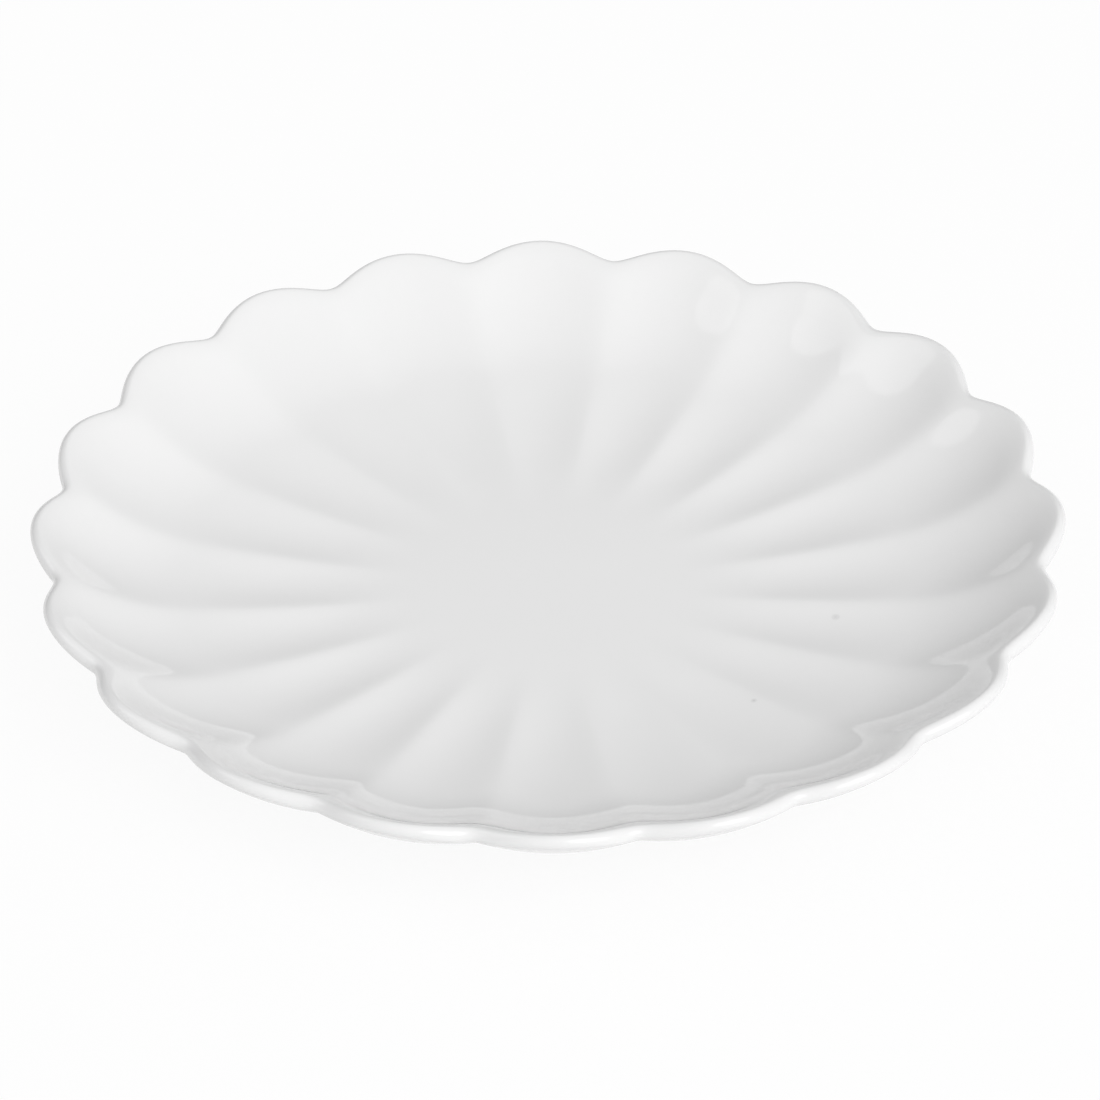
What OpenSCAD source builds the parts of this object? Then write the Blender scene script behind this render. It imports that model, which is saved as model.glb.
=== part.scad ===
// Scalloped dessert plate of white glazed porcelain. The dish is pressed into a ring of equal petals: each
// petal is a shallow flute that widens out to the rim, and a soft ridge runs between each two. On the inside
// the wall rolls over gently into the lip, and the lip's outer edge is rounded more tightly. The dish stands on
// a low foot ring with a narrow flat tread.
// Millimetres, +Z up. The origin is the middle of the tread, and +X passes through the tip of a petal.

/* [Outline] */
// Overall diameter, across the tips of two opposite petals
plate_d = 210; // [190:1:230]
// Number of petals round the rim
petals = 20; // [16:1:22]
// How far a notch between two petals lies inside their tips
notch_in = 4.1; // [2:0.1:6]
// How far the tips of the petals stand above the notches
tip_rise = 2.1; // [0:0.1:4]

/* [Wall] */
// Depth of the dish at a notch, from its floor up to the centre of the rounding on the lip's edge
dish_depth = 13.5; // [10:0.1:17]
// Thickness of the floor
floor_t = 4.5; // [3.5:0.1:6]
// Width of the band at the rim where the wall turns up
rim_w = 27; // [20:0.5:34]

/* [Lip] */
// Thickness of the wall as it reaches the lip
lip_t = 3.6; // [3.2:0.1:4.6]
// Radius of the rounding on the outer edge of the lip
lip_edge_r = 1.5; // [1.2:0.1:1.8]
// Width over which the inside rolls over into the top of the lip
lip_roll_w = 4.2; // [3:0.1:6]

/* [Ridges] */
// Radius of the flat well, where the ridges begin to rise
ridge_start_r = 26; // [20:0.5:32]
// Radius of the long arc that a ridge follows between the well and the rim
ridge_arc_r = 375; // [300:1:480]
// Half width of the rounding of a ridge where it begins
ridge_round = 2; // [1.2:0.1:3]
// Half width of the rounding of a ridge where it runs out into the lip
ridge_round_lip = 4; // [1.5:0.1:5]
// Half width of the rounding of the groove on the underside, below a ridge
groove_round = 0.6; // [0.3:0.1:2]

/* [Flutes] */
// Radius at which the hollow of a flute leaves the level of the well
flute_start_r = 43; // [36:0.5:50]
// Radius of the long arc that the hollow of a flute follows
flute_arc_r = 198; // [160:1:260]

/* [Foot] */
// Diameter of the middle of the tread
foot_d = 106; // [90:1:114]
// Height of the foot ring below the dish
foot_h = 3.2; // [2:0.1:5]
// Width of the foot ring where it joins the dish
foot_root_w = 5.6; // [5:0.1:8]
// Width of the flat tread that the plate stands on
foot_tread_w = 1.8; // [1:0.1:2.5]
// Radius of the rounding on both edges of the tread
foot_edge_r = 0.9; // [0.4:0.1:1.2]
// Width of the flat land round the foot ring before the underside begins to rise
foot_land_w = 1; // [0.5:0.1:2]

/* [Hidden] */

// The guide is a surface inside the wall, from the middle of the floor to the centre of the rounding on the
// lip's edge. The two faces of the wall lie on either side of it. These are its radius at the tip of a petal
// and at a notch, its height at the floor, and its rise from there to a notch.
tip_r = plate_d / 2 - lip_edge_r;
notch_r = tip_r - notch_in;
guide_z = foot_h + floor_t / 2;
guide_rise = dish_depth + floor_t / 2;
// Angle from the middle of a petal to the notch at its side
half_petal_a = 180 / petals;
// Share of the way from the well to the lip at which the inside begins to roll over
roll_start_share = 1 - lip_roll_w / (notch_r - ridge_start_r);
// Radius at which the underside begins, and its share of the way
base_r = foot_d / 2 + foot_root_w / 2 + foot_land_w;
base_share = (base_r - ridge_start_r) / (notch_r - ridge_start_r);
// Share of the way at which the underside has come clear of the foot's level
underside_clear_share = 0.72;

// Where the points across a petal lie, as shares of half its width: close together at the ridge
petal_shares = [-1, -0.88, -0.66, -0.34, 0, 0.34, 0.66, 0.88];
// Steps from the well to the roll, over the roll, round the lip's edge, and back under to the foot
inside_steps = 16;
roll_steps = 4;
lip_steps = 6;
underside_steps = 12;
// Power that draws the steps closer together towards the rim
step_power = 0.8;
// Sides of the rounding on one edge of the tread
edge_steps = 6;

// A section through the guide: it leaves the flat well at start_r on a long arc, and from turn_r a second arc,
// tangent to the first, carries it up to the lip
function section(start_r, arc_r, turn_r, end_r, end_h) =
    let (turn_a = asin((turn_r - start_r) / arc_r))
    let (turn_h = arc_r * (1 - cos(turn_a)))
    let (run = end_r - turn_r)
    let (climb = end_h - turn_h)
    let (rim_arc_r = (run ^ 2 + climb ^ 2) / (2 * (climb * cos(turn_a) - run * sin(turn_a))))
    [start_r, arc_r, turn_r, turn_a, turn_h, rim_arc_r];

// Slope of a section at radius r, in degrees
function slope(sec, r) =
    r <= sec[0] ? 0 :
    r <= sec[2] ? asin((r - sec[0]) / sec[1]) :
    asin(sin(sec[3]) + (r - sec[2]) / sec[5]);

// Rise of a section at radius r above the middle of the floor
function rise(sec, r) =
    r <= sec[2] ? sec[1] * (1 - cos(slope(sec, r))) :
    sec[4] + sec[5] * (cos(sec[3]) - cos(slope(sec, r)));

ridge = section(ridge_start_r, ridge_arc_r, notch_r - rim_w, notch_r, guide_rise);
flute = section(flute_start_r, flute_arc_r, tip_r - rim_w, tip_r, guide_rise + tip_rise);

function mix(a, b, share) = a + (b - a) * share;
function ease(share) = share ^ 2 * (3 - 2 * share);

// 0 on a ridge and 1 in the middle of a petal: a flat arch across the petal, with the ridge rounded
function bulge(across, r, round_w) =
    let (soft = round_w / (r * sin(half_petal_a)))
    let (off = 1 - abs(across))
    let (lift = (norm([off, soft]) - soft) / (norm([1, soft]) - soft))
    lift * (2 - lift);

// A place on the guide, given across its petal and along the way out from the well to the lip: its radius,
// height and slope there
function guide(across, along, round_w) =
    let (ridge_r = mix(ridge_start_r, notch_r, along))
    let (flute_r = mix(ridge_start_r, tip_r, along))
    let (b = bulge(across, ridge_r, round_w))
    [
        mix(ridge_r, flute_r, b),
        guide_z + mix(rise(ridge, ridge_r), rise(flute, flute_r), b),
        mix(slope(ridge, ridge_r), slope(flute, flute_r), b)
    ];

// Radius and height at some distance from a place on the guide, at angle a from level
function off_guide(g, distance, a) = [g[0] + distance * cos(a), g[1] + distance * sin(a)];

// Radius, height and slope of the inside face
function inside(across, along) =
    let (g = guide(across, along, mix(ridge_round, ridge_round_lip, along ^ 4)))
    concat(off_guide(g, mix(floor_t / 2, lip_t - lip_edge_r, along), g[2] + 90), g[2]);

// Radius and height round the lip's edge: turn runs from 0 at its highest point, over 1/2 at its widest, to 1
// at the underside
function lip(across, turn) =
    let (g = guide(across, 1, mix(ridge_round_lip, groove_round, turn)))
    off_guide(g, lip_edge_r, turn < 1 / 2 ? 90 * (1 - 2 * turn) : (g[2] - 90) * (2 * turn - 1));

// Radius and height where the inside rolls over: turn runs from 0 on the inside face, which it leaves along
// the slope there, to 1 at the top of the lip, which it reaches level
function roll(across, turn) =
    let (start = inside(across, roll_start_share))
    let (top = lip(across, 0))
    let (bend = [start[0] + (top[1] - start[1]) / tan(start[2]), top[1]])
    mix(mix([start[0], start[1]], bend, turn), mix(bend, top, turn), turn);

// Radius and height of the underside: flat on the foot's level where it starts, then along the wall
function underside(across, along) =
    let (g = guide(across, along, groove_round))
    let (p = off_guide(g, mix(floor_t / 2, lip_edge_r, along), g[2] - 90))
    let (clear = min(1, (along - base_share) / (underside_clear_share - base_share)))
    [p[0], mix(foot_h, p[1], ease(clear))];

// One closed ring of points round the plate, from a list of radii and heights across one petal
function ring(places) =
    [for (k = [0 : petals - 1], i = [0 : len(petal_shares) - 1])
        let (a = (2 * k + petal_shares[i]) * half_petal_a)
        [places[i][0] * cos(a), places[i][0] * sin(a), places[i][1]]];

module fluted_dish() {
    around = petals * len(petal_shares);
    inside_rings = [for (j = [0 : inside_steps])
        let (along = roll_start_share * (j / inside_steps) ^ step_power)
        ring([for (across = petal_shares) inside(across, along)])];
    roll_rings = [for (j = [1 : roll_steps])
        ring([for (across = petal_shares) roll(across, j / roll_steps)])];
    lip_rings = [for (j = [1 : lip_steps - 1])
        ring([for (across = petal_shares) lip(across, j / lip_steps)])];
    underside_rings = [for (j = [underside_steps : -1 : 0])
        let (along = mix(base_share, 1, (j / underside_steps) ^ step_power))
        ring([for (across = petal_shares) underside(across, along)])];
    rings = concat(inside_rings, roll_rings, lip_rings, underside_rings);
    last = len(rings) - 1;

    well = [for (i = [around - 1 : -1 : 0]) i];
    base = [for (i = [0 : around - 1]) last * around + i];
    bands = [for (j = [0 : last - 1], i = [0 : around - 1])
        let (near = j * around + i)
        let (next = j * around + (i + 1) % around)
        each [[near, next, near + around], [next, next + around, near + around]]];
    color("white")
        polyhedron([for (one = rings) each one], concat([well], [base], bands));
}

module foot_ring() {
    half_root = foot_root_w / 2;
    half_tread = foot_tread_w / 2;
    // The straight side leaves the tread's rounding at a tangent and meets the dish at the root
    side_run = half_root - half_tread;
    side_climb = foot_h - foot_edge_r;
    side_a = atan2(side_climb, side_run) - acos(foot_edge_r / norm([side_run, side_climb]));
    edge = [for (j = [0 : edge_steps])
        let (a = mix(-90, side_a, j / edge_steps))
        [half_tread + foot_edge_r * cos(a), foot_edge_r * (1 + sin(a))]];
    outline = concat(
        edge,
        [[half_root, foot_h], [-half_root, foot_h]],
        [for (j = [edge_steps : -1 : 0]) [-edge[j][0], edge[j][1]]]);
    color("whitesmoke")
        rotate_extrude($fn = 96)
            translate([foot_d / 2, 0])
                polygon(outline);
}

fluted_dish();
foot_ring();
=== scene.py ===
import math
import bmesh
import bpy
from mathutils import Matrix, Vector


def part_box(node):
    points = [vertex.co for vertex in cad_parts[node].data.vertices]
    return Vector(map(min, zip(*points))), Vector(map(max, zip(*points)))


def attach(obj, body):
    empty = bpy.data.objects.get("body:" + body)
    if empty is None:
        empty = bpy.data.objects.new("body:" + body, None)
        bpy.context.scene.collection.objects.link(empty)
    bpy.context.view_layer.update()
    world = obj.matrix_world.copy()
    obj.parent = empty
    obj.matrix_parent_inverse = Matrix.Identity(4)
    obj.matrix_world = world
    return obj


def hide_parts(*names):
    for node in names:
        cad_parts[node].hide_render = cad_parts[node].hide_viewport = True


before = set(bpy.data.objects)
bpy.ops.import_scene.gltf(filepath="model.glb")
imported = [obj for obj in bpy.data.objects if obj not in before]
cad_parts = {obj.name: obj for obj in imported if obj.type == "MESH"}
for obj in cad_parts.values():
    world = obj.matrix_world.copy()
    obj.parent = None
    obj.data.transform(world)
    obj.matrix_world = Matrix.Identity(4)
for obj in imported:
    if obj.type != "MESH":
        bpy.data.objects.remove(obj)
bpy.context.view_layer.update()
scene = bpy.context.scene


# Camera
# A long lens looks down on the plate from the front at the photograph's angle, and the picture is 1100
# pixels square. Its distance and aim are shares of the radius at the centre of the rim's edge.
MM = 0.001
plate_low, plate_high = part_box("fluted_dish")
plate_r = plate_high.x
rim_centre_r = 103.16 * MM
rim_z = 20.95 * MM

IMAGE_PX = 1100
FOCAL_PX = 5381
SENSOR_MM = 36
distance = 10.598 * rim_centre_r
looks_down = math.radians(35.72)
swung_round = math.radians(-0.8)
rolled = math.radians(0.28)
aim_right = 0.0029 * rim_centre_r
aim_up = -0.0369 * rim_centre_r

turn = Matrix.Rotation(swung_round, 3, "Z")
ahead = turn @ Vector((0, math.cos(looks_down), -math.sin(looks_down)))
level = turn @ Vector((1, 0, 0))
upward = level.cross(ahead)
right = level * math.cos(rolled) - upward * math.sin(rolled)
top = level * math.sin(rolled) + upward * math.cos(rolled)
place = Vector((0, 0, rim_z)) - ahead * distance + level * aim_right + upward * aim_up

lens = bpy.data.cameras.new("photo_lens")
lens.sensor_width = SENSOR_MM
lens.lens = FOCAL_PX * SENSOR_MM / IMAGE_PX
camera = bpy.data.objects.new("photo_camera", lens)
pose = Matrix((right, top, -ahead)).transposed().to_4x4()
pose.translation = place
camera.matrix_world = pose
scene.collection.objects.link(camera)
scene.camera = camera


# Fluted dish
# The pressed porcelain dish: twenty petals, each a shallow flute from the flat well out to the rim, with a
# soft ridge between each two. On the inside the wall rolls over gently into the lip, and the lip's outer
# edge is rounded more tightly.
PETALS = 20
half_petal = math.pi / PETALS
lip_edge_r = 1.5 * MM
lip_t = 3.6 * MM
lip_roll_w = 4.2 * MM
notch_depth = 4.1 * MM
tip_r = plate_r - lip_edge_r
notch_r = tip_r - notch_depth
tip_rise = 2.1 * MM
floor_t = 4.5 * MM
foot_h = plate_low.z
dish_depth = 13.5 * MM
rim_w = 27 * MM
ridge_start_r = 26 * MM
ridge_arc_r = 375 * MM
flute_start_r = 43 * MM
flute_arc_r = 198 * MM
ridge_round = 2.0 * MM
ridge_round_lip = 4.0 * MM
groove_round = 0.6 * MM
foot_land_r = 56.8 * MM
UNDERSIDE_CLEAR_SHARE = 0.72

guide_z = foot_h + floor_t / 2
guide_rise = dish_depth + floor_t / 2
roll_start_share = 1 - lip_roll_w / (notch_r - ridge_start_r)
land_share = (foot_land_r - ridge_start_r) / (notch_r - ridge_start_r)

MERGE_WITHIN = 1e-6
INSIDE_CUTS, ROLL_CUTS, EDGE_CUTS, UNDERSIDE_CUTS = 60, 9, 13, 40
PETAL_STEPS = 32
# The mesh is closer towards the rim and towards the ridges
RIM_CROWDING = 0.8
RIDGE_CROWDING = 0.75
WELL_POOL = 0.5
# Share of the underside, next to the lip, over which the rim's painted shade fades in
RIM_SHADE_UNDER_SHARE = 0.12

# Heights that mark the parts of the flat disc until its points are moved: the inside's face, the top of the
# lip's edge, and the underside's face
INSIDE_MARK, LIP_TOP_MARK, UNDERSIDE_MARK = 4, 3, 2


def mix(a, b, share):
    return a + (b - a) * share


class Section:
    """A cut through the wall: flat, then a long arc, then a tighter one tangent to it, up to the lip."""

    def __init__(self, start_r, arc_r, turn_r, end_r, end_h):
        self.start_r, self.arc_r, self.turn_r = start_r, arc_r, turn_r
        self.turn_a = math.asin((turn_r - start_r) / arc_r)
        self.turn_h = arc_r * (1 - math.cos(self.turn_a))
        run, climb = end_r - turn_r, end_h - self.turn_h
        off_tangent = climb * math.cos(self.turn_a) - run * math.sin(self.turn_a)
        self.rim_arc_r = (run ** 2 + climb ** 2) / (2 * off_tangent)

    def slope(self, r):
        if r <= self.start_r:
            return 0.0
        if r <= self.turn_r:
            return math.asin((r - self.start_r) / self.arc_r)
        return math.asin(math.sin(self.turn_a) + (r - self.turn_r) / self.rim_arc_r)

    def rise(self, r):
        if r <= self.turn_r:
            return self.arc_r * (1 - math.cos(self.slope(r)))
        return self.turn_h + self.rim_arc_r * (math.cos(self.turn_a) - math.cos(self.slope(r)))


ridge = Section(ridge_start_r, ridge_arc_r, notch_r - rim_w, notch_r, guide_rise)
flute = Section(flute_start_r, flute_arc_r, tip_r - rim_w, tip_r, guide_rise + tip_rise)


def bulge(across, r, round_w):
    """0 on a ridge and 1 in the middle of a petal: a flat arch, with the ridge rounded."""
    soft = round_w / (r * math.sin(half_petal))
    off = 1 - abs(across)
    lift = (math.hypot(off, soft) - soft) / (math.hypot(1, soft) - soft)
    return lift * (2 - lift)


def guide(across, along, round_w):
    """Radius, height and slope of the surface inside the wall, out to the centre of the lip's edge."""
    ridge_r = mix(ridge_start_r, notch_r, along)
    flute_r = mix(ridge_start_r, tip_r, along)
    b = bulge(across, ridge_r, round_w)
    return (
        mix(ridge_r, flute_r, b),
        guide_z + mix(ridge.rise(ridge_r), flute.rise(flute_r), b),
        mix(ridge.slope(ridge_r), flute.slope(flute_r), b),
    )


def inside(across, along):
    """Radius, height and slope of the inside face."""
    r, z, slope = guide(across, along, mix(ridge_round, ridge_round_lip, along ** 4))
    above = mix(floor_t / 2, lip_t - lip_edge_r, along)
    return r - above * math.sin(slope), z + above * math.cos(slope), slope


def underside(across, along):
    """Radius and height of the underside: flat inside the foot, then following the wall."""
    r, z, slope = guide(across, along, groove_round)
    below = mix(floor_t / 2, lip_edge_r, along)
    clear = min(1.0, max(0.0, (along - land_share) / (UNDERSIDE_CLEAR_SHARE - land_share)))
    eased = clear * clear * (3 - 2 * clear)
    return r + below * math.sin(slope), mix(foot_h, z - below * math.cos(slope), eased)


def lip_edge(across, round_by):
    """The lip's outer edge, from its highest point at 0, past its widest at 1/2, to the underside at 1."""
    r, z, slope = guide(across, 1, mix(ridge_round_lip, groove_round, round_by))
    half = math.pi / 2
    a = half * (1 - 2 * round_by) if round_by < 0.5 else (slope - half) * (2 * round_by - 1)
    return r + lip_edge_r * math.cos(a), z + lip_edge_r * math.sin(a)


def roll(across, over):
    """From the inside face at 0, along its slope, to the lip's highest point at 1, level there."""
    r, z, slope = inside(across, roll_start_share)
    top_r, top_z = lip_edge(across, 0)
    bend_r = r + (top_z - z) / math.tan(slope)
    return (
        mix(mix(r, bend_r, over), mix(bend_r, top_r, over), over),
        mix(mix(z, top_z, over), top_z, over),
    )


def make_dish():
    """One petal of a flat disc, moved point by point onto the sections and repeated round the plate."""
    bm = bmesh.new()
    # How deep the melted glaze lies: 1 in a flute's hollow, WELL_POOL in the well, 0 on the ridges and lip
    glaze_pool = bm.verts.layers.float.new("glaze_pool")
    # How much painted shade darkens the rim: over the lip's top and outer edge, and on the underside next to
    # the lip
    rim_shade = bm.verts.layers.float.new("painted_rim_shade")
    corners = (
        (0, INSIDE_MARK), (1, INSIDE_MARK), (1, LIP_TOP_MARK), (1, UNDERSIDE_MARK), (0, UNDERSIDE_MARK),
    )
    cuts_between = (INSIDE_CUTS, ROLL_CUTS, EDGE_CUTS, UNDERSIDE_CUTS)
    for start, end, cuts in zip(corners, corners[1:], cuts_between):
        edge = bm.edges.new([bm.verts.new((x, 0, z)) for x, z in (start, end)])
        bmesh.ops.subdivide_edges(bm, edges=[edge], cuts=cuts)
    bmesh.ops.remove_doubles(bm, verts=bm.verts, dist=MERGE_WITHIN)
    bmesh.ops.rotate(bm, verts=bm.verts, matrix=Matrix.Rotation(-half_petal, 3, "Z"))
    bmesh.ops.spin(
        bm, geom=bm.verts[:] + bm.edges[:], cent=(0, 0, 0), axis=(0, 0, 1),
        angle=2 * half_petal, steps=PETAL_STEPS,
    )
    for v in bm.verts:
        out_r = min(1.0, math.hypot(v.co.x, v.co.y)) ** RIM_CROWDING * notch_r
        along = max(0.0, (out_r - ridge_start_r) / (notch_r - ridge_start_r))
        even = math.atan2(v.co.y, v.co.x) / half_petal
        across = mix(even, math.sin(even * math.pi / 2), RIDGE_CROWDING)
        side = round(v.co.z, 6)
        if side == INSIDE_MARK:
            r, z, slope = inside(across, along * roll_start_share)
            v[glaze_pool] = mix(WELL_POOL, bulge(across, out_r, ridge_round), along) if along else WELL_POOL
        elif side >= LIP_TOP_MARK:
            over = INSIDE_MARK - side
            r, z = roll(across, over)
            v[glaze_pool] = bulge(across, notch_r, ridge_round) * (1 - over)
            v[rim_shade] = over ** 2
        elif side > UNDERSIDE_MARK:
            r, z = lip_edge(across, LIP_TOP_MARK - side)
            v[rim_shade] = 1
        else:
            r, z = underside(across, along)
            v[glaze_pool] = WELL_POOL * (1 - along)
            v[rim_shade] = max(0.0, 1 - (1 - along) / RIM_SHADE_UNDER_SHARE)
        r *= min(1.0, out_r / ridge_start_r)
        v.co = (r * math.cos(across * half_petal), r * math.sin(across * half_petal), z)
    bmesh.ops.spin(
        bm, geom=bm.verts[:] + bm.edges[:] + bm.faces[:], cent=(0, 0, 0), axis=(0, 0, 1),
        angle=2 * half_petal * (PETALS - 1), steps=PETALS - 1, use_duplicate=True,
    )
    bmesh.ops.remove_doubles(bm, verts=bm.verts, dist=MERGE_WITHIN)
    bmesh.ops.recalc_face_normals(bm, faces=bm.faces)
    mesh = bpy.data.meshes.new("glazed_dish")
    bm.to_mesh(mesh)
    bm.free()
    mesh.shade_smooth()
    dish = bpy.data.objects.new("glazed_dish", mesh)
    scene.collection.objects.link(dish)
    return dish


def set_or_link(tree, socket, value):
    if isinstance(value, bpy.types.NodeSocket):
        tree.links.new(value, socket)
    else:
        socket.default_value = value


def add_node(tree, kind, **sockets):
    """A node with its sockets set or linked. A socket's name is given with _ for each space."""
    node = tree.nodes.new(kind)
    for name, value in sockets.items():
        set_or_link(tree, node.inputs[name.replace("_", " ")], value)
    return node


def add_noise(tree, place, per_metre, detail):
    node = add_node(tree, "ShaderNodeTexNoise", Vector=place, Scale=per_metre, Detail=detail)
    return node.outputs["Fac"]


def add_math(tree, operation, first, second):
    node = tree.nodes.new("ShaderNodeMath")
    node.operation = operation
    for socket, value in zip(node.inputs, (first, second)):
        set_or_link(tree, socket, value)
    return node.outputs[0]


def add_vector_math(tree, operation, output, first, second=(0, 0, 0)):
    node = tree.nodes.new("ShaderNodeVectorMath")
    node.operation = operation
    for socket, value in zip(node.inputs, (first, second)):
        set_or_link(tree, socket, value)
    return node.outputs[output]


def remap(tree, value, from_min, from_max, to_min, to_max, smooth=False):
    node = add_node(
        tree, "ShaderNodeMapRange", Value=value, From_Min=from_min, From_Max=from_max,
        To_Min=to_min, To_Max=to_max,
    )
    if smooth:
        node.interpolation_type = "SMOOTHSTEP"
    return node.outputs["Result"]


def mix_colour(tree, share, first, second):
    node = tree.nodes.new("ShaderNodeMix")
    node.data_type = "RGBA"
    for socket, value in zip((node.inputs[0], node.inputs[6], node.inputs[7]), (share, first, second)):
        set_or_link(tree, socket, value)
    return node.outputs[2]


def grey(level):
    return (level, level, level, 1)


# Between these two levels lies nearly all of a noise texture
NOISE_LOW, NOISE_HIGH = 0.3, 0.7


def fired_specks():
    """Iron specks that come up in the firing: soft dots of many sizes in a few cells of a scattered grid."""
    group = bpy.data.node_groups.new("fired_specks", "ShaderNodeTree")
    group.interface.new_socket("Place", in_out="INPUT", socket_type="NodeSocketVector")
    for name in ("Cells per metre", "Size", "Clean share"):
        group.interface.new_socket(name, in_out="INPUT", socket_type="NodeSocketFloat")
    group.interface.new_socket("Mask", in_out="OUTPUT", socket_type="NodeSocketFloat")
    enter = group.nodes.new("NodeGroupInput").outputs
    leave = group.nodes.new("NodeGroupOutput").inputs
    cells = add_node(group, "ShaderNodeTexVoronoi", Vector=enter["Place"], Scale=enter["Cells per metre"])
    draw = add_node(group, "ShaderNodeSeparateColor", Color=cells.outputs["Color"]).outputs
    chosen = add_math(group, "GREATER_THAN", draw["Red"], enter["Clean share"])
    dot = remap(group, cells.outputs["Distance"], 0, enter["Size"], 1, 0, smooth=True)
    fainter = add_math(group, "MULTIPLY", dot, draw["Green"])
    group.links.new(add_math(group, "MULTIPLY", fainter, chosen), leave["Mask"])
    return group


def place_specks(tree, place, per_metre, size, clean_share):
    node = tree.nodes.new("ShaderNodeGroup")
    node.node_tree = specks
    for name, value in zip(node.inputs.keys(), (place, per_metre, size, clean_share)):
        set_or_link(tree, node.inputs[name], value)
    return node.outputs["Mask"]


# Clear glaze over white porcelain: a little deeper in tone where it pools in the flutes, thinner over the
# ridges.
# The lip, its outer edge and the underside next to it are painted greyer, a painted shade that tones down
# the brightly lit lip. It has the faint waviness of a glaze that ran as it melted. Two small grey specks
# show in the front right of the dish, and much fainter ones here and there.
PORCELAIN_THIN = 0.836
PORCELAIN_POOLED = 0.826
# The greyer tone of the rim's painted shade, which darkens the brightly lit lip
RIM_SHADE_GREY = 0.795
PORCELAIN_SPECK = 0.34
CLOUDS_PER_METRE = 28
CLOUD_STRENGTH = 0.8
GLAZE_ROUGHNESS = 0.07
GLAZE_ROUGHNESS_SPREAD = 0.012
GLAZE_IOR = 1.47
WAVES_PER_METRE = 55
wave_height = 0.03 * MM
PEEL_PER_METRE = 420
peel_height = 0.0022 * MM
FAINT_SPECKS_PER_METRE = 85
FAINT_SPECK_SIZE = 0.04
FAINT_CLEAN_SHARE = 0.93
FAINT_SPECK_STRENGTH = 0.12
# Middle, radius and strength
SEEN_SPECKS = (
    (Vector((57.9, -13.9, 8.6)) * MM, 1.15 * MM, 0.34),
    (Vector((40.0, -41.8, 8.9)) * MM, 0.8 * MM, 0.45),
)


def white_glaze():
    mat = bpy.data.materials.new("white_glaze")
    mat.use_nodes = True
    tree = mat.node_tree
    shader = tree.nodes["Principled BSDF"].inputs
    shader["IOR"].default_value = GLAZE_IOR
    place = tree.nodes.new("ShaderNodeTexCoord").outputs["Object"]

    pool = tree.nodes.new("ShaderNodeAttribute")
    pool.attribute_name = "glaze_pool"
    cloud = add_noise(tree, place, CLOUDS_PER_METRE, detail=3)
    cloudy = remap(tree, cloud, NOISE_LOW, NOISE_HIGH, -CLOUD_STRENGTH / 2, CLOUD_STRENGTH / 2)
    depth = add_math(tree, "ADD", pool.outputs["Fac"], cloudy)
    body = mix_colour(tree, depth, grey(PORCELAIN_THIN), grey(PORCELAIN_POOLED))
    # Painted shade: the lip, its edge and the underside next to it are mixed towards a greyer tone
    rim_shade = tree.nodes.new("ShaderNodeAttribute")
    rim_shade.attribute_name = "painted_rim_shade"
    body = mix_colour(tree, rim_shade.outputs["Fac"], body, grey(RIM_SHADE_GREY))

    faint = place_specks(tree, place, FAINT_SPECKS_PER_METRE, FAINT_SPECK_SIZE, FAINT_CLEAN_SHARE)
    mark = add_math(tree, "MULTIPLY", faint, FAINT_SPECK_STRENGTH)
    for middle, radius, strength in SEEN_SPECKS:
        away = add_vector_math(tree, "DISTANCE", "Value", place, middle)
        spot = remap(tree, away, 0, radius, strength, 0, smooth=True)
        mark = add_math(tree, "MAXIMUM", mark, spot)
    tree.links.new(mix_colour(tree, mark, body, grey(PORCELAIN_SPECK)), shader["Base Color"])

    dullest = GLAZE_ROUGHNESS + GLAZE_ROUGHNESS_SPREAD
    glossiest = GLAZE_ROUGHNESS - GLAZE_ROUGHNESS_SPREAD
    polish = remap(tree, cloud, NOISE_LOW, NOISE_HIGH, glossiest, dullest)
    tree.links.new(add_math(tree, "ADD", polish, mark), shader["Roughness"])

    waves = add_noise(tree, place, WAVES_PER_METRE, detail=1)
    peel = add_noise(tree, place, PEEL_PER_METRE, detail=1)
    wavy = add_node(tree, "ShaderNodeBump", Height=waves, Distance=wave_height).outputs["Normal"]
    dimpled = add_node(tree, "ShaderNodeBump", Height=peel, Distance=peel_height, Normal=wavy)
    tree.links.new(dimpled.outputs["Normal"], shader["Normal"])
    return mat


dish = make_dish()
specks = fired_specks()
glaze = white_glaze()
dish.data.materials.append(glaze)
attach(dish, "root")
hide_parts("fluted_dish")


# Foot ring
# The low ring under the dish, with a small fillet at its root, is glazed down to a line just above the
# table. Its tread was wiped before the firing, so it is bare porcelain, ground flat, and narrower by the
# glaze's thickness.
foot_outer_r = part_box("foot_ring")[1].x
foot_root_w = 5.6 * MM
foot_tread_w = 1.8 * MM
foot_edge_r = 0.9 * MM
foot_fillet_r = 1.2 * MM
fillet_sunk = 0.03 * MM
foot_mid_r = foot_outer_r - foot_root_w / 2
glaze_line_z = 0.35 * MM
glaze_t = 0.12 * MM
glaze_end_r = 0.08 * MM
hair = 0.0001 * MM
FOOT_STEPS = 256
CORNER_STEPS = 8
GLAZE_END_STEPS = 3
FILLET_SPREAD = 1.2
foot_sharp_a = math.radians(50)


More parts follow.
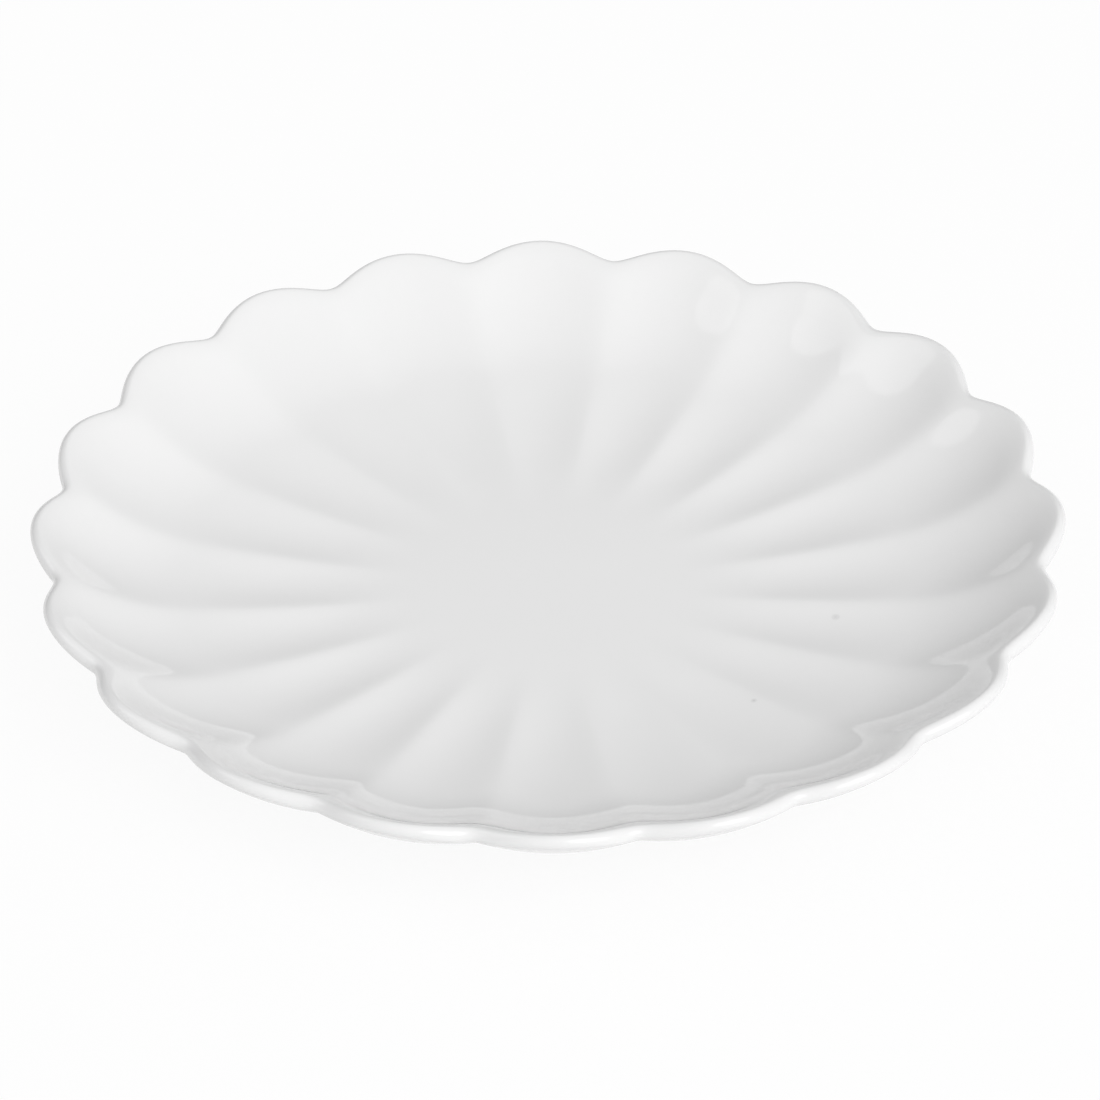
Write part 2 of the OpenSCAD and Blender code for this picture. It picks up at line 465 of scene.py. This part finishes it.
def foot_section(inset):
    """The foot's section as one face on the XZ plane: a tapered bar, rounded below, with a filleted root."""
    half_root = foot_root_w / 2 - inset
    half_tread = foot_tread_w / 2 - inset
    run, climb = half_root - half_tread, foot_h - foot_edge_r
    side_a = math.pi / 2 + math.atan2(climb, run) - math.acos(foot_edge_r / math.hypot(run, climb))
    tread_cut = foot_edge_r * math.tan(side_a / 2)
    root_cut = foot_fillet_r / math.tan((math.pi - side_a) / 2)
    spread = half_root + FILLET_SPREAD * root_cut
    # The fillet ends just inside the dish, so that no two faces lie in one plane
    end_z = foot_h + fillet_sunk
    corners = ((half_tread + tread_cut, 0), (half_root, end_z), (spread, end_z), (spread, foot_h + glaze_t))
    bm = bmesh.new()
    outer = [bm.verts.new((foot_mid_r + x, 0, z)) for x, z in corners]
    inner = [bm.verts.new((foot_mid_r - x, 0, z)) for x, z in corners]
    bm.faces.new(outer + inner[::-1])
    for corner, cut in ((0, tread_cut), (1, root_cut)):
        bmesh.ops.bevel(
            bm, geom=[outer[corner], inner[corner]], offset=cut, offset_type="OFFSET", affect="VERTICES",
            segments=CORNER_STEPS, profile=0.5, material=-1,
        )
    return bm


def cut_level(bm, z, keep_above):
    bmesh.ops.bisect_plane(
        bm, geom=bm.verts[:] + bm.edges[:] + bm.faces[:], plane_co=(0, 0, z), plane_no=(0, 0, 1),
        clear_inner=keep_above, clear_outer=not keep_above,
    )


def turn_round(bm, name):
    """Spins a section's outline once round the plate's axis into a closed ring."""
    bmesh.ops.delete(bm, geom=bm.faces[:], context="FACES_ONLY")
    bmesh.ops.spin(
        bm, geom=bm.verts[:] + bm.edges[:], cent=(0, 0, 0), axis=(0, 0, 1), angle=2 * math.pi,
        steps=FOOT_STEPS, use_merge=True,
    )
    bmesh.ops.remove_doubles(bm, verts=bm.verts, dist=hair)
    bmesh.ops.recalc_face_normals(bm, faces=bm.faces)
    mesh = bpy.data.meshes.new(name)
    bm.to_mesh(mesh)
    bm.free()
    mesh.shade_smooth()
    mesh.set_sharp_from_angle(angle=foot_sharp_a)
    piece = bpy.data.objects.new(name, mesh)
    scene.collection.objects.link(piece)
    return piece


def make_glazed_foot():
    bm = foot_section(inset=0)
    cut_level(bm, glaze_line_z, keep_above=True)
    ends = [v for v in bm.verts if abs(v.co.z - glaze_line_z) < hair]
    bmesh.ops.bevel(
        bm, geom=ends, offset=glaze_end_r, offset_type="OFFSET", affect="VERTICES",
        segments=GLAZE_END_STEPS, profile=0.5, material=-1,
    )
    return turn_round(bm, "glazed_foot")


def make_bare_tread():
    bm = foot_section(inset=glaze_t)
    cut_level(bm, glaze_line_z + glaze_t, keep_above=False)
    return turn_round(bm, "bare_tread")


# Bare fired porcelain: dry and a touch warmer than the glaze, with a fine grain, and rubbed rings from the
# grinding disc that levelled the tread.
BARE_PALE = (0.80, 0.785, 0.755, 1)
BARE_RUBBED = (0.66, 0.645, 0.62, 1)
BARE_SPECK = (0.4, 0.37, 0.34, 1)
GRAIN_PER_METRE = 2600
RINGS_PER_METRE = 5200
RING_LOW, RING_HIGH = 0.4, 0.65
WEAR_PER_METRE = 60
WORN_LOW, WORN_HIGH = 0.35, 0.65
WORN_LEAST, WORN_MOST = 0.2, 0.9
GRIT_PER_METRE = 400
GRIT_SIZE = 0.2
GRIT_CLEAN_SHARE = 0.8
DRY_ROUGHNESS = 0.85
RUBBED_ROUGHNESS = 0.6
grain_height = 0.02 * MM


def bare_porcelain():
    mat = bpy.data.materials.new("bare_porcelain")
    mat.use_nodes = True
    tree = mat.node_tree
    shader = tree.nodes["Principled BSDF"].inputs
    place = tree.nodes.new("ShaderNodeTexCoord").outputs["Object"]
    level_place = add_vector_math(tree, "MULTIPLY", "Vector", place, (1, 1, 0))
    ring_noise = tree.nodes.new("ShaderNodeTexNoise")
    ring_noise.noise_dimensions = "1D"
    ring_noise.inputs["Scale"].default_value = RINGS_PER_METRE
    tree.links.new(add_vector_math(tree, "LENGTH", "Value", level_place), ring_noise.inputs["W"])
    rings = ring_noise.outputs["Fac"]
    grain = add_noise(tree, place, GRAIN_PER_METRE, detail=4)
    worn = add_noise(tree, place, WEAR_PER_METRE, detail=3)
    touched = remap(tree, rings, RING_LOW, RING_HIGH, 0, 1)
    how_far = remap(tree, worn, WORN_LOW, WORN_HIGH, WORN_LEAST, WORN_MOST)
    rubbed = add_math(tree, "MULTIPLY", touched, how_far)
    tone = mix_colour(tree, rubbed, BARE_PALE, BARE_RUBBED)
    grit = place_specks(tree, place, GRIT_PER_METRE, GRIT_SIZE, GRIT_CLEAN_SHARE)
    tree.links.new(mix_colour(tree, grit, tone, BARE_SPECK), shader["Base Color"])
    tree.links.new(remap(tree, rubbed, 0, 1, DRY_ROUGHNESS, RUBBED_ROUGHNESS), shader["Roughness"])
    relief = add_math(tree, "ADD", grain, rings)
    rough = add_node(tree, "ShaderNodeBump", Height=relief, Distance=grain_height)
    tree.links.new(rough.outputs["Normal"], shader["Normal"])
    return mat


foot = make_glazed_foot()
foot.data.materials.append(glaze)
tread = make_bare_tread()
tread.data.materials.append(bare_porcelain())
for piece in (foot, tread):
    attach(piece, "root")
    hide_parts("foot_ring")


# Studio
# A pale paper floor under a pale surround that falls off to grey behind the plate, with a large soft lamp to
# the front right and a weaker one to the left. The floor keeps the plate's shadow, and shows nearly white to
# the camera and in the glaze.
floor_half = 3.0
FLOOR_PALE = 0.88
FLOOR_ROUGHNESS = 0.9
WHITE_SHARE = 0.92
AROUND_PALE = 0.786
AROUND_DIM = 0.073
dim_compass = math.radians(115.5)
dim_height = math.radians(9)
DIM_STARTS = 0.293
DIM_FULL = 1.19
lamp_away = 1.8


def towards(compass, height):
    flat = math.cos(height)
    return Vector((math.cos(compass) * flat, math.sin(compass) * flat, math.sin(height)))


def make_floor():
    bm = bmesh.new()
    bmesh.ops.create_grid(bm, x_segments=1, y_segments=1, size=floor_half)
    mesh = bpy.data.meshes.new("floor")
    bm.to_mesh(mesh)
    bm.free()
    floor = bpy.data.objects.new("floor", mesh)
    scene.collection.objects.link(floor)
    paper = bpy.data.materials.new("floor_paper")
    paper.use_nodes = True
    tree = paper.node_tree
    sheet = tree.nodes["Principled BSDF"]
    sheet.inputs["Base Color"].default_value = grey(FLOOR_PALE)
    sheet.inputs["Roughness"].default_value = FLOOR_ROUGHNESS
    sheet.inputs["Specular IOR Level"].default_value = 0
    white = tree.nodes.new("ShaderNodeEmission")
    path = tree.nodes.new("ShaderNodeLightPath").outputs
    seen = add_math(tree, "MAXIMUM", path["Is Camera Ray"], path["Is Glossy Ray"])
    seen = add_math(tree, "MAXIMUM", seen, path["Is Transmission Ray"])
    blend = tree.nodes.new("ShaderNodeMixShader")
    tree.links.new(add_math(tree, "MULTIPLY", seen, WHITE_SHARE), blend.inputs[0])
    tree.links.new(sheet.outputs[0], blend.inputs[1])
    tree.links.new(white.outputs[0], blend.inputs[2])
    tree.links.new(blend.outputs[0], tree.nodes["Material Output"].inputs["Surface"])
    floor.data.materials.append(paper)
    return floor


def light_surround():
    world = bpy.data.worlds.new("surround")
    scene.world = world
    world.use_nodes = True
    tree = world.node_tree
    where = tree.nodes.new("ShaderNodeTexCoord").outputs["Generated"]
    facing = add_vector_math(tree, "DOT_PRODUCT", "Value", where, towards(dim_compass, dim_height))
    pale = remap(tree, facing, DIM_STARTS, DIM_FULL, AROUND_PALE, AROUND_DIM, smooth=True)
    tree.links.new(pale, tree.nodes["Background"].inputs["Strength"])
    tree.nodes["Background"].inputs["Color"].default_value = grey(1)


def softbox(name, watts, size, compass, height):
    """A round soft lamp that faces the plate. Its compass and height are in degrees."""
    lamp = bpy.data.lights.new(name, "AREA")
    lamp.shape = "DISK"
    lamp.size = size
    lamp.energy = watts
    box = bpy.data.objects.new(name, lamp)
    facing = towards(math.radians(compass), math.radians(height))
    box.location = facing * lamp_away
    box.rotation_euler = facing.to_track_quat("Z", "Y").to_euler()
    scene.collection.objects.link(box)


make_floor()
light_surround()
softbox("front_softbox", watts=14.0, size=1.45, compass=309, height=33.5)
softbox("side_softbox", watts=2.3, size=0.95, compass=169, height=50)
scene.view_settings.view_transform = "Standard"
